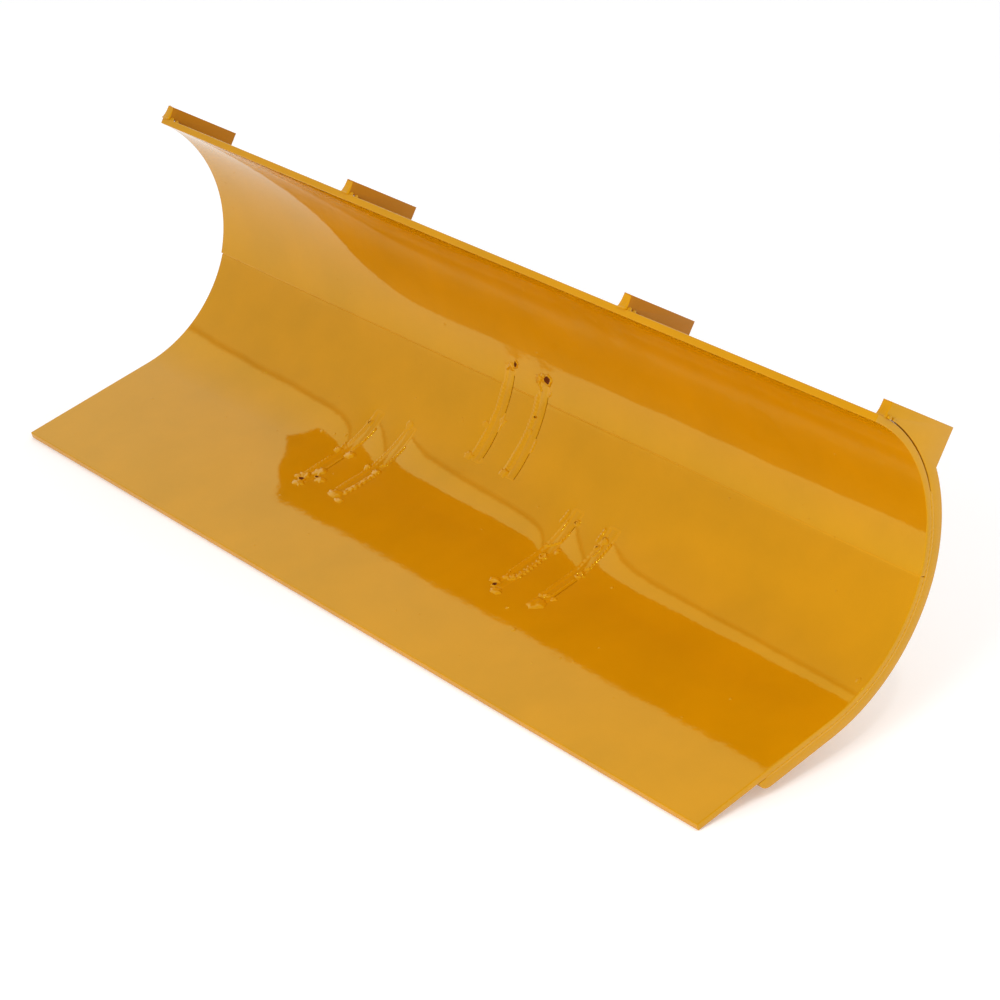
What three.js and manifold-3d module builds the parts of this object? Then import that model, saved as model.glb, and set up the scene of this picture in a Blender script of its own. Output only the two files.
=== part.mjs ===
// A small skid steer bucket shell: an open, rolled steel shell with no side plates.
// A floor plate rises from the cutting lip and rolls up into an upper plate, to which it is
// seam welded. Four ribs follow the back of the shell and end in a square ear above its top
// edge. Three pairs of lugs reach through slots in the shell and carry the loader's pins.
//
// Units are millimetres. +X runs along the lip, +Y from the lip towards the loader, +Z up.
// The bucket stands on its lip and on the feet of its lower lugs, and the origin is the
// middle of the rectangle that it covers on the ground.
//
// Most of the shape follows the developed section of the shell: "along" is the distance from
// the lip, measured round the inside face, and "out" is the distance outwards from that face.

import * as THREE from "three";
import { mergeVertices } from "three/addons/utils/BufferGeometryUtils.js";
import Module from "manifold-3d";

const wasm = await Module();
wasm.setup();

// ---------------------------------------------------------------- driving dimensions
const LENGTH = 1200;
const PLATE = 8; // thickness of both shell plates
const FIT = 0.3; // clearance between pieces that touch

// The section of the shell, from the lip to the top edge.
const FLOOR_PITCH = THREE.MathUtils.degToRad(15.1); // rise of the flat floor behind the lip
const FLOOR_RUN = 183; // flat part of the floor plate
const ROLL = 170.5; // inside radius of the roll
const SEAM = 360; // distance along to the seam between the plates
const CREASE = THREE.MathUtils.degToRad(1.2); // change of slope at the seam
const TOP = 581.5; // distance along to the top edge
const FACET = THREE.MathUtils.degToRad(3); // facet of the rolled faces

// Ribs and the ears at their upper ends.
const RIB_WIDTH = 12;
const RIB_BACK = 22; // outer face of a rib, measured from the inside of the shell
const RIB_FOOT = 83; // where a rib starts, along from the lip
const EAR_LENGTH = 105;
const EAR_HEIGHT = 15.6; // ear above the outer corner of the top edge
const RIBS = [
  { name: "left_end", x: -LENGTH / 2 + RIB_WIDTH / 2, setback: 0, sides: [1] },
  { name: "left_inner", x: -229, setback: 0, sides: [-1, 1] },
  { name: "right_inner", x: 242, setback: 0, sides: [-1, 1] },
  { name: "right_end", x: LENGTH / 2 - RIB_WIDTH / 2, setback: 12, sides: [-1] },
];

// Lugs: three pairs, each pair a clevis for one eye of the loader.
const LUG_WIDTH = 12;
const LUG_SPACING = 60; // between the middles of the two lugs of a pair
const EYE_RADIUS = 32;
const PIN_BORE = 26;
const LOWER_LUG = { from: 136, to: 268, pin: { y: 290, z: EYE_RADIUS } };
const UPPER_LUG = { from: 265, to: 387, pin: { y: 352, z: 160 } };
const LUG_SHOULDER = 10; // how far a lug stands square off the shell before it tapers
const BOSS_RADIUS = 25; // machined boss round each bore, on the face that meets the loader's eye
const BOSS_RISE = 1.5;
const PAIRS = [
  { name: "lower_left", x: -178, lug: LOWER_LUG },
  { name: "upper", x: 0, lug: UPPER_LUG },
  { name: "lower_right", x: 178, lug: LOWER_LUG },
];

// Welds.
const CRACK = 0.8; // open crack on the right of each lug, where it was not welded
const PLUG_WELD = 2.6; // width of the weld on the left of each lug
const PLUG_CROWN = 1.2; // how far that weld stands proud inside the shell
const LUG_FILLET = 8;
const RIB_FILLET = 6;
const RIB_STITCHES = [
  { name: "low", from: 88, to: 130 },
  { name: "high", from: 395, to: 505 },
];
const SEAM_BEAD_WIDTH = 12;
const SEAM_BEAD_HEIGHT = 3;
const FOOT_BEAD_RADIUS = 3.8; // bead at the foot of each ear

// Facets of the small round shapes.
const HALF_ROUND_STEPS = 6;
const QUARTER_ROUND_STEPS = 6;
const CIRCLE_STEPS = 20;

// Worked out from the dimensions above.
const LIP_LIFT = PLATE * Math.cos(FLOOR_PITCH); // brings the lip's outer corner to Z = 0
const REAR = UPPER_LUG.pin.y + EYE_RADIUS;
const FOOT_TO_ORIGIN = -REAR / 2;
const RIB_FACE = PLATE + FIT;

// ---------------------------------------------------------------- section of the shell
// Each stretch of the section starts at a point with a slope, and is flat or rolled.
function stretchStart(previous, along, extraSlope) {
  const end = pointOn(previous, along);
  return { along, y: end.y, z: end.z, slope: end.slope + extraSlope, radius: ROLL };
}

function pointOn(stretch, along) {
  const run = along - stretch.along;
  if (!Number.isFinite(stretch.radius)) {
    return {
      y: stretch.y + run * Math.cos(stretch.slope),
      z: stretch.z + run * Math.sin(stretch.slope),
      slope: stretch.slope,
    };
  }
  const slope = stretch.slope + run / stretch.radius;
  return {
    y: stretch.y + stretch.radius * (Math.sin(slope) - Math.sin(stretch.slope)),
    z: stretch.z - stretch.radius * (Math.cos(slope) - Math.cos(stretch.slope)),
    slope,
  };
}

const flatFloor = { along: 0, y: 0, z: LIP_LIFT, slope: FLOOR_PITCH, radius: Infinity };
const lowerRoll = stretchStart(flatFloor, FLOOR_RUN, 0);
const upperRoll = stretchStart(lowerRoll, SEAM, CREASE);

// The point at a distance along the section and a distance out from the inside face.
function sectionPoint(along, out) {
  const stretch = along <= FLOOR_RUN ? flatFloor : along <= SEAM ? lowerRoll : upperRoll;
  const face = pointOn(stretch, along);
  const y = face.y + out * Math.sin(face.slope);
  const z = face.z - out * Math.cos(face.slope);
  return new THREE.Vector2(y, z);
}

// Points along the section at one distance out, with one point at each facet's edge.
function sectionRun(from, to, out) {
  const stops = [from];
  const step = ROLL * FACET;
  for (let along = FLOOR_RUN; along < TOP; along += step) {
    if (along > Math.min(from, to) + FIT && along < Math.max(from, to) - FIT) stops.push(along);
  }
  stops.push(to);
  stops.sort((a, b) => (from < to ? a - b : b - a));
  return stops.map((along) => sectionPoint(along, out));
}

// A point in the square frame of the top edge: "down" follows the top edge's slope backwards
// and "out" is square to it.
function topEdgePoint(down, out) {
  const top = sectionPoint(TOP, 0);
  const slope = pointOn(upperRoll, TOP).slope;
  return new THREE.Vector2(
    top.x - down * Math.cos(slope) + out * Math.sin(slope),
    top.y - down * Math.sin(slope) - out * Math.cos(slope),
  );
}

// ---------------------------------------------------------------- shapes into solids
// Extrudes an outline drawn in the YZ plane along X, centred on X = 0.
function plateAcross(shape, width) {
  const geometry = new THREE.ExtrudeGeometry(shape, {
    depth: width,
    bevelEnabled: false,
    curveSegments: CIRCLE_STEPS / 2,
  });
  return geometry
    .rotateX(Math.PI / 2)
    .rotateZ(Math.PI / 2)
    .translate(-width / 2, 0, 0);
}

// Runs a section drawn in (x, out) along the shell, and bends it round the roll with it.
function beadAlongShell(shape, from, to) {
  const steps = Math.max(2, Math.ceil((to - from) / (ROLL * FACET)));
  const geometry = new THREE.ExtrudeGeometry(shape, {
    depth: to - from,
    steps,
    bevelEnabled: false,
  });
  const position = geometry.getAttribute("position");
  for (let i = 0; i < position.count; i++) {
    const bent = sectionPoint(from + position.getZ(i), position.getY(i));
    position.setXYZ(i, position.getX(i), bent.x, bent.y);
  }
  return geometry;
}

function toSolid(geometry) {
  const bare = geometry.clone();
  bare.deleteAttribute("normal");
  bare.deleteAttribute("uv");
  const merged = mergeVertices(bare, 1e-3);
  const vertProperties = new Float32Array(merged.attributes.position.array);
  const triVerts = new Uint32Array(merged.index.array);
  return new wasm.Manifold(new wasm.Mesh({ numProp: 3, vertProperties, triVerts }));
}

function toGeometry(solid) {
  const mesh = solid.getMesh();
  const geometry = new THREE.BufferGeometry();
  geometry.setAttribute("position", new THREE.BufferAttribute(mesh.vertProperties, 3));
  geometry.setIndex(new THREE.BufferAttribute(mesh.triVerts, 1));
  geometry.computeVertexNormals();
  return geometry;
}

const bucket = new THREE.Group();
bucket.name = "skid_steer_bucket";

function addPiece(name, geometry, color, x = 0) {
  const material = new THREE.MeshStandardMaterial({ color, roughness: 0.25, metalness: 0 });
  const mesh = new THREE.Mesh(geometry, material);
  mesh.name = name;
  mesh.position.set(x, FOOT_TO_ORIGIN, 0);
  bucket.add(mesh);
}

const SHELL_PAINT = 0xd18a0a;
const RIB_PAINT = 0xc98f24;
const LUG_PAINT = 0xb5761c;
const WELD_PAINT = 0xd9a035;

// ---------------------------------------------------------------- shell plates
// A slot holds the lug, the weld on its left and the open crack on its right.
const SLOT_LEFT = -LUG_WIDTH / 2 - PLUG_WELD - 2 * FIT;
const SLOT_RIGHT = LUG_WIDTH / 2 + CRACK;

const lugs = PAIRS.flatMap((pair) =>
  [
    { hand: "left", inward: 1 },
    { hand: "right", inward: -1 },
  ].map(({ hand, inward }) => ({
    name: `${pair.name}_${hand}`,
    x: pair.x - (inward * LUG_SPACING) / 2,
    inward,
    ...pair.lug,
  })),
);

function slotCutter(lug) {
  const outline = [
    ...sectionRun(lug.from, lug.to, -PLATE),
    ...sectionRun(lug.to, lug.from, 2 * PLATE),
  ];
  const cutter = plateAcross(new THREE.Shape(outline), SLOT_RIGHT - SLOT_LEFT);
  return toSolid(cutter.translate(lug.x + (SLOT_LEFT + SLOT_RIGHT) / 2, 0, 0));
}

function shellPlate(from, to) {
  const outline = [...sectionRun(from, to, 0), ...sectionRun(to, from, PLATE)];
  let plate = toSolid(plateAcross(new THREE.Shape(outline), LENGTH));
  for (const lug of lugs) plate = plate.subtract(slotCutter(lug));
  return toGeometry(plate);
}

addPiece("floor_plate", shellPlate(0, SEAM - FIT / 2), SHELL_PAINT);
addPiece("upper_plate", shellPlate(SEAM + FIT / 2, TOP), SHELL_PAINT);

// ---------------------------------------------------------------- ribs and ears
// A quarter round from the shell to the outer face of the rib.
function ribFoot() {
  const radius = RIB_BACK - RIB_FACE;
  const points = [];
  for (let step = 0; step <= QUARTER_ROUND_STEPS; step++) {
    const angle = ((step / QUARTER_ROUND_STEPS) * Math.PI) / 2;
    const along = RIB_FOOT + radius * (1 - Math.cos(angle));
    points.push(sectionPoint(along, RIB_FACE + radius * Math.sin(angle)));
  }
  return points;
}

function ribOutline(setback) {
  const innerEnd = TOP - ROLL * Math.asin(setback / (ROLL + RIB_FACE));
  const earBack = setback + EAR_LENGTH;
  const outerEnd = TOP - ROLL * Math.asin(earBack / (ROLL + RIB_BACK));
  const outerStart = RIB_FOOT + RIB_BACK - RIB_FACE + FIT;
  return [
    ...ribFoot(),
    ...sectionRun(outerStart, outerEnd, RIB_BACK),
    topEdgePoint(earBack, PLATE + EAR_HEIGHT),
    topEdgePoint(setback, PLATE + EAR_HEIGHT),
    ...sectionRun(innerEnd, RIB_FOOT + FIT, RIB_FACE),
  ];
}

for (const rib of RIBS) {
  const outline = new THREE.Shape(ribOutline(rib.setback));
  addPiece(`rib_${rib.name}`, plateAcross(outline, RIB_WIDTH), RIB_PAINT, rib.x);
}

// ---------------------------------------------------------------- lugs
// Angle, seen from an eye's middle, at which a line from a point touches the eye's rim.
function tangentAngle(point, pin, side) {
  const dy = point.x - pin.y;
  const dz = point.y - pin.z;
  return Math.atan2(dz, dy) + side * Math.acos(EYE_RADIUS / Math.hypot(dy, dz));
}

// A lug is flush with the inside of the shell. Its lower edge goes straight down to the ground
// on the lower pairs, and tapers to the eye on the upper pair.
function lugOutline(lug) {
  const start = lug.from + FIT;
  const end = lug.to - FIT;
  const onGround = lug.pin.z === EYE_RADIUS;
  const face = sectionPoint(start, 0);
  const groundReach = face.y / Math.cos(FLOOR_PITCH);
  const lower = sectionPoint(start, onGround ? groundReach : PLATE + LUG_SHOULDER);
  const upper = sectionPoint(end, PLATE + LUG_SHOULDER);
  const firstAngle = onGround ? -Math.PI / 2 : tangentAngle(lower, lug.pin, 1);
  const lastAngle = tangentAngle(upper, lug.pin, -1);
  const shape = new THREE.Shape();
  shape.setFromPoints([...sectionRun(end, start, 0), lower]);
  shape.absarc(lug.pin.y, lug.pin.z, EYE_RADIUS, firstAngle, lastAngle, false);
  shape.lineTo(upper.x, upper.y);
  return shape;
}

function discOnPin(pin, radius, width) {
  const circle = new THREE.Shape();
  circle.absarc(pin.y, pin.z, radius, 0, 2 * Math.PI, false);
  return plateAcross(circle, width);
}

for (const lug of lugs) {
  const plate = toSolid(plateAcross(lugOutline(lug), LUG_WIDTH));
  const boss = discOnPin(lug.pin, BOSS_RADIUS, LUG_WIDTH).translate(lug.inward * BOSS_RISE, 0, 0);
  const bore = discOnPin(lug.pin, PIN_BORE / 2, 2 * LUG_WIDTH);
  const solid = plate.add(toSolid(boss)).subtract(toSolid(bore));
  addPiece(`lug_${lug.name}`, toGeometry(solid), LUG_PAINT, lug.x);
}

// ---------------------------------------------------------------- welds
// A rectangle in (x, out).
function barSection(left, right, inner, outer) {
  return new THREE.Shape([
    new THREE.Vector2(left, inner),
    new THREE.Vector2(right, inner),
    new THREE.Vector2(right, outer),
    new THREE.Vector2(left, outer),
  ]);
}

// A three-cornered fillet in (x, out), beside a face at x = edge, on the given side of it.
function filletSection(edge, side, leg) {
  const near = side * (edge + FIT);
  const far = side * (edge + FIT + leg);
  return new THREE.Shape([
    new THREE.Vector2(near, RIB_FACE),
    new THREE.Vector2(far, RIB_FACE),
    new THREE.Vector2(near, RIB_FACE + leg),
  ]);
}

// A plate's bead on its left is called "a" and on its right "b".
function beadLetter(side) {
  return side < 0 ? "a" : "b";
}

for (const lug of lugs) {
  const edge = -LUG_WIDTH / 2 - FIT;
  const plug = barSection(edge - PLUG_WELD, edge, -PLUG_CROWN, PLATE);
  addPiece(
    `weld_slot_${lug.name}`,
    beadAlongShell(plug, lug.from + FIT, lug.to - FIT),
    WELD_PAINT,
    lug.x,
  );
  for (const side of [-1, 1]) {
    const fillet = filletSection(LUG_WIDTH / 2, side, LUG_FILLET);
    const bead = beadAlongShell(fillet, lug.from + FIT, lug.to - FIT);
    addPiece(`weld_lug_${lug.name}_${beadLetter(side)}`, bead, WELD_PAINT, lug.x);
  }
}

for (const rib of RIBS) {
  for (const side of rib.sides) {
    const fillet = filletSection(RIB_WIDTH / 2, side, RIB_FILLET);
    const prefix = `weld_rib_${rib.name}_${beadLetter(side)}`;
    for (const stitch of RIB_STITCHES) {
      const bead = beadAlongShell(fillet, stitch.from, stitch.to);
      addPiece(`${prefix}_${stitch.name}`, bead, WELD_PAINT, rib.x);
    }
  }
}

// The seam is welded on the back, between the ribs and the fillets of the upper lugs.
function seamBeadOutline() {
  const points = [];
  for (let step = 0; step <= HALF_ROUND_STEPS; step++) {
    const angle = (step / HALF_ROUND_STEPS) * Math.PI;
    const along = SEAM + (SEAM_BEAD_WIDTH / 2) * Math.cos(angle);
    points.push(sectionPoint(along, RIB_FACE + SEAM_BEAD_HEIGHT * Math.sin(angle)));
  }
  return new THREE.Shape(points);
}

const filletReach = LUG_WIDTH / 2 + LUG_FILLET + 2 * FIT;
const upperLugX = LUG_SPACING / 2;
const seamBreaks = [
  ...RIBS.map((rib) => ({ x: rib.x, reach: RIB_WIDTH / 2 + FIT })),
  { x: -upperLugX, reach: filletReach },
  { x: upperLugX, reach: filletReach },
].sort((a, b) => a.x - b.x);

for (let i = 1; i < seamBreaks.length; i++) {
  const from = seamBreaks[i - 1].x + seamBreaks[i - 1].reach;
  const to = seamBreaks[i].x - seamBreaks[i].reach;
  const bead = plateAcross(seamBeadOutline(), to - from);
  addPiece(`weld_seam_${i}`, bead, WELD_PAINT, (from + to) / 2);
}

// A short bead lies across the front of each ear, just above the shell's top corner.
function footBeadOutline(setback) {
  const points = [];
  const middle = PLATE + FIT + FOOT_BEAD_RADIUS;
  for (let step = 0; step <= HALF_ROUND_STEPS; step++) {
    const angle = (step / HALF_ROUND_STEPS) * Math.PI;
    const down = setback - FIT - FOOT_BEAD_RADIUS * Math.sin(angle);
    points.push(topEdgePoint(down, middle + FOOT_BEAD_RADIUS * Math.cos(angle)));
  }
  return new THREE.Shape(points);
}

for (const rib of RIBS) {
  const bead = plateAcross(footBeadOutline(rib.setback), RIB_WIDTH);
  addPiece(`weld_ear_${rib.name}`, bead, WELD_PAINT, rib.x);
}

export default bucket;
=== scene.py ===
import math

import bmesh
import bpy
import numpy as np
from mathutils import Matrix, Vector, noise


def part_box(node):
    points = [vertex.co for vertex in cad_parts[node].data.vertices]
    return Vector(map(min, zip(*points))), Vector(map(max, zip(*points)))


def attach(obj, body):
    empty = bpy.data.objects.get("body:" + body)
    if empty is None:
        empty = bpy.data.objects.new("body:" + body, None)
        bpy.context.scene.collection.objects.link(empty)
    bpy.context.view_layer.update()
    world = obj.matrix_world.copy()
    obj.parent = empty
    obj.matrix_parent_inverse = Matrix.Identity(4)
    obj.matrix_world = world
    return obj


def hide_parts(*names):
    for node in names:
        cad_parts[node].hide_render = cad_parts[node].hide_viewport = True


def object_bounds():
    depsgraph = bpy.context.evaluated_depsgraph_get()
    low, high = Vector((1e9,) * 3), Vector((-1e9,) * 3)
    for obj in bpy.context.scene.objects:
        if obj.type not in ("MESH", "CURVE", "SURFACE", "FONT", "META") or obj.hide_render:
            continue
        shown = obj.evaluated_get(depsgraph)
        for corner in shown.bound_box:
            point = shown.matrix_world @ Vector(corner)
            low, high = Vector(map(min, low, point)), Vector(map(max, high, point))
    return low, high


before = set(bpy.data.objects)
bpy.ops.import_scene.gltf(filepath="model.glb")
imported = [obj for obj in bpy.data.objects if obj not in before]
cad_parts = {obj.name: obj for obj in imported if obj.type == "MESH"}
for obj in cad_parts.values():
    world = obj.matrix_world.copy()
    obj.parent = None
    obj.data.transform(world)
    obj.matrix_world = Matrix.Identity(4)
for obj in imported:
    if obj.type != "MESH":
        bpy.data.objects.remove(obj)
cad_low, cad_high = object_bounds()

MM = 0.001

# ------------------------------------------------------------------ the shell's section
# "along" runs round the inside face from the lip, and "out" runs outwards from that face.
PLATE = 8 * MM
FLOOR_PITCH = math.radians(15.1)
FLOOR_RUN = 183 * MM
ROLL = 170.5 * MM
SEAM = 360 * MM
CREASE = math.radians(1.2)
TOP = 581.5 * MM
SEAM_GAP = 0.3 * MM

LEFT_END, RIGHT_END = cad_low.x, cad_high.x
LIP_Y = cad_low.y
LIP_Z = cad_low.z + PLATE * math.cos(FLOOR_PITCH)
ROLL_Y = LIP_Y + FLOOR_RUN * math.cos(FLOOR_PITCH)
ROLL_Z = LIP_Z + FLOOR_RUN * math.sin(FLOOR_PITCH)


def rolled(along, start, y, z, slope):
    turned = slope + (along - start) / ROLL
    y_there = y + ROLL * (np.sin(turned) - math.sin(slope))
    z_there = z - ROLL * (np.cos(turned) - math.cos(slope))
    return y_there, z_there, turned


SEAM_Y, SEAM_Z, SEAM_SLOPE = rolled(SEAM, FLOOR_RUN, ROLL_Y, ROLL_Z, FLOOR_PITCH)


def section(along):
    """Y, Z and slope of the undented inside face."""
    along = np.asarray(along, float)
    flat = (
        LIP_Y + along * math.cos(FLOOR_PITCH),
        LIP_Z + along * math.sin(FLOOR_PITCH),
        np.full_like(along, FLOOR_PITCH),
    )
    lower = rolled(along, FLOOR_RUN, ROLL_Y, ROLL_Z, FLOOR_PITCH)
    upper = rolled(along, SEAM, SEAM_Y, SEAM_Z, SEAM_SLOPE + CREASE)
    on_floor, below_seam = along <= FLOOR_RUN, along <= SEAM
    return tuple(
        np.where(on_floor, f, np.where(below_seam, lo, up))
        for f, lo, up in zip(flat, lower, upper)
    )


def shell_point(x, along, out=0.0):
    y, z, slope = section(along)
    x, y, z, slope, out = np.broadcast_arrays(x, y, z, slope, out)
    return np.stack([x, y + out * np.sin(slope), z - out * np.cos(slope)], -1)


def smoothstep(value, start, stop):
    t = np.clip((value - start) / (stop - start), 0, 1)
    return t * t * (3 - 2 * t)


# ------------------------------------------------------------------ lugs, ribs and slots
LUG_WIDTH = 12 * MM
LUG_PAIRS = ("lower_left", "upper", "lower_right")
EYE_RADIUS = 32 * MM
PIN_BORE = 26 * MM
BOSS_RADIUS = 25 * MM
BOSS_RISE = 1.5 * MM
BOSS_WIDTH = 4 * MM
BOSS_SLACK = 0.05 * MM  # keeps a boss's bore just inside the lug's
LUG_BEVEL = 0.6 * MM
BOSS_BEVEL = 0.4 * MM
UPPER_PIN_HEIGHT = 160 * MM
UPPER_SLOT = (265 * MM, 387 * MM)
LOWER_SLOT = (136 * MM, 268 * MM)
LUG_SHOULDER = 10 * MM
SLOT_LEFT = 9.2 * MM  # from a lug's middle to either edge of its slot
SLOT_RIGHT = 7.3 * MM
LUG_FIT = 0.3 * MM


class Lug:
    """One lug, placed from its CAD box, with the ends of its slot."""

    def __init__(self, name):
        low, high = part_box(f"lug_{name}")
        upper = name.startswith("upper")
        self.name = name
        self.inward = 1 if name.endswith("_left") else -1
        body_low = low.x if self.inward > 0 else high.x - LUG_WIDTH
        self.x = body_low + LUG_WIDTH / 2
        self.pin_y = high.y - EYE_RADIUS
        self.pin_z = UPPER_PIN_HEIGHT if upper else low.z + EYE_RADIUS
        self.start, self.stop = UPPER_SLOT if upper else LOWER_SLOT
        self.upper = upper


LUGS = [Lug(f"{pair}_{hand}") for pair in LUG_PAIRS for hand in ("left", "right")]

RIB_WIDTH = 12 * MM
RIB_BACK = 22 * MM
RIB_FACE = 8.3 * MM
RIB_FOOT = 83 * MM
RIB_LIFT = 0.9 * MM
RIB_LIFT_RUN = (440 * MM, 470 * MM)
EAR_LENGTH = 105 * MM
EAR_HEIGHT = 15.6 * MM
EAR_STEP = 1.2 * MM  # the ears' faces sit this far behind the top edge
RIB_BEVEL = 0.8 * MM
RIB_SETBACKS = {"left_end": 0, "left_inner": 0, "right_inner": 0, "right_end": 12 * MM}


def rib_x(name):
    low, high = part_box(f"rib_{name}")
    return (low.x + high.x) / 2


# ------------------------------------------------------------------ dents in the sheet
DENT_DEPTH = 2.0 * MM
DENT_REACH = 21 * MM
DENT_REACH_LEFT = 14 * MM
DENT_REACH_WIDE = 60 * MM
DENT_LEAD = 20 * MM
DENT_OFFSET = 1.2 * MM
DENT_FLAT = 8 * MM
UPPER_DENT = 0.7
WAVE_HEIGHT = 0.10 * MM
RIPPLE_HEIGHT = 0.05 * MM
CALM_RIM = (430 * MM, 520 * MM)  # the waves fade out along here


def dent(x, along):
    """How far welding and rolling pushed the sheet outwards."""
    x, along = np.broadcast_arrays(np.asarray(x, float), np.asarray(along, float))
    depth = WAVE_HEIGHT * np.sin(x * 23 + 1.3) * np.sin(along * 17 + 0.4)
    depth = depth + RIPPLE_HEIGHT * np.sin(x * 61 + along * 40) * np.sin(along * 33 + 2.0)
    depth = depth * (1 - smoothstep(along, *CALM_RIM))
    for lug in LUGS:
        offset = x - lug.x + DENT_OFFSET
        outside_pair = (offset < 0) & (lug.inward > 0)
        beside = np.maximum(np.abs(offset) - DENT_FLAT, 0)
        near = np.where(outside_pair, DENT_REACH_LEFT, DENT_REACH)
        valley = 0.8 * np.exp(-beside / near) + 0.2 * np.exp(-beside / DENT_REACH_WIDE)
        rise = smoothstep(along, lug.start - DENT_LEAD, lug.start + DENT_LEAD)
        fall = smoothstep(along, lug.stop - DENT_LEAD, lug.stop + DENT_LEAD)
        strength = UPPER_DENT if lug.upper else 1.0
        depth = depth + DENT_DEPTH * strength * valley * rise * (1 - fall)
    return depth


# ------------------------------------------------------------------ mesh helpers
def new_object(name, vertices, faces, materials, smooth_angle=40):
    mesh = bpy.data.meshes.new(name)
    mesh.from_pydata(np.asarray(vertices).tolist(), [], [list(f) for f in faces])
    mesh.validate()
    mesh.shade_smooth()
    mesh.set_sharp_from_angle(angle=math.radians(smooth_angle))
    obj = bpy.data.objects.new(name, mesh)
    bpy.context.scene.collection.objects.link(obj)
    for material in materials:
        mesh.materials.append(material)
    return obj


def finish_piece(obj, slot, *replaced):
    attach(obj, "root")
    if replaced:
        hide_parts(*replaced)
    return obj


class Body:
    """Gathers closed bodies into one mesh."""

    def __init__(self):
        self.vertices, self.faces, self.slots = [], [], []
        self.count = 0

    def add(self, vertices, faces, slots=None):
        self.vertices.append(np.asarray(vertices, float).reshape(-1, 3))
        self.faces.extend(tuple(int(i) + self.count for i in f) for f in faces)
        self.slots.extend(slots if slots is not None else [0] * len(faces))
        self.count += len(self.vertices[-1])

    def build(self, name, materials, smooth_angle=60):
        obj = new_object(name, np.concatenate(self.vertices), self.faces, materials, smooth_angle)
        obj.data.polygons.foreach_set("material_index", self.slots)
        return obj


def graded_lines(start, stop, step, fine_step, windows, exact):
    """Grid lines from start to stop, closer inside the windows, with every exact line kept."""
    lines = [start, stop] + [e for e in exact if start < e < stop]
    position = start
    while position < stop:
        inside = any(low <= position < high for low, high in windows)
        position += fine_step if inside else step
        nearest = min(abs(position - line) for line in lines[: 2 + len(exact)])
        if position < stop and nearest > 0.45 * fine_step:
            lines.append(position)
    return np.array(sorted(set(lines)))


# ------------------------------------------------------------------ materials
def paint(name, colour, roughness, peel, mottle=0.05, grain=0.0, ior=1.9):
    """Gloss enamel: slow colour variation, orange peel and fine dust under the gloss."""
    material = bpy.data.materials.new(name)
    material.use_nodes = True
    nodes, links = material.node_tree.nodes, material.node_tree.links
    shader = nodes["Principled BSDF"]
    shader.inputs["Roughness"].default_value = roughness
    shader.inputs["IOR"].default_value = ior
    shader.inputs["Specular Tint"].default_value = SPECULAR_TINT
    where = nodes.new("ShaderNodeTexCoord").outputs["Object"]

    def noise_texture(scale, detail):
        texture = nodes.new("ShaderNodeTexNoise")
        texture.inputs["Scale"].default_value = scale
        texture.inputs["Detail"].default_value = detail
        links.new(where, texture.inputs["Vector"])
        return texture.outputs["Fac"]

    ramp = nodes.new("ShaderNodeValToRGB")
    dark, light = (tuple(c * k for c in colour) + (1.0,) for k in (1 - mottle, 1 + mottle))
    ramp.color_ramp.elements[0].position = 0.3
    ramp.color_ramp.elements[0].color = dark
    ramp.color_ramp.elements[1].position = 0.7
    ramp.color_ramp.elements[1].color = light
    links.new(noise_texture(14, 4), ramp.inputs["Fac"])
    links.new(ramp.outputs["Color"], shader.inputs["Base Color"])

    normal = None
    for scale, height in ((55, peel), (150, peel * 0.55), (900, grain)):
        if height == 0:
            continue
        bump = nodes.new("ShaderNodeBump")
        bump.inputs["Strength"].default_value = 1.0
        bump.inputs["Distance"].default_value = height
        links.new(noise_texture(scale, 2), bump.inputs["Height"])
        if normal:
            links.new(normal, bump.inputs["Normal"])
        normal = bump.outputs["Normal"]
    links.new(normal, shader.inputs["Normal"])
    return material


def crater_shade_paint(name):
    """Painted shade: the dark red-brown bowl of a weld crater, standing in for the shade inside a deep
    pit.
    """
    material = bpy.data.materials.new(name)
    material.use_nodes = True
    nodes, links = material.node_tree.nodes, material.node_tree.links
    shader = nodes["Principled BSDF"]
    shader.inputs["Roughness"].default_value = 0.8
    shader.inputs["Specular IOR Level"].default_value = 0.1
    texture = nodes.new("ShaderNodeTexNoise")
    texture.inputs["Scale"].default_value = 600
    ramp = nodes.new("ShaderNodeValToRGB")
    ramp.color_ramp.elements[0].color = (0.050, 0.006, 0.001, 1)
    ramp.color_ramp.elements[1].color = (0.200, 0.042, 0.002, 1)
    links.new(nodes.new("ShaderNodeTexCoord").outputs["Object"], texture.inputs["Vector"])
    links.new(texture.outputs["Fac"], ramp.inputs["Fac"])
    links.new(ramp.outputs["Color"], shader.inputs["Base Color"])
    return material


SPECULAR_TINT = (1.0, 1.0, 0.07, 1.0)
SHELL_COLOUR = (0.565, 0.216, 0.0002)
SHELL_PAINT = paint("shell_paint", SHELL_COLOUR, 0.05, 0.05 * MM)
# Painted shade: the ribs other than the right end one get a darker, browner, less glossy copy of the
# shell paint. It stands in for the light that reaches the right end rib's sides but not theirs.
SHADED_RIB_PAINT = paint("rib_paint", (0.42, 0.13, 0.006), 0.16, 0.06 * MM, ior=1.5)
END_RIB_PAINT = paint("end_rib_paint", SHELL_COLOUR, 0.12, 0.06 * MM)
LUG_PAINT = paint("lug_paint", SHELL_COLOUR, 0.10, 0.05 * MM)
WELD_PAINT = paint("weld_paint", (0.60, 0.23, 0.0006), 0.08, 0.05 * MM, grain=0.02 * MM)
CRATER_SHADE = crater_shade_paint("weld_crater_shade")

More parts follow.
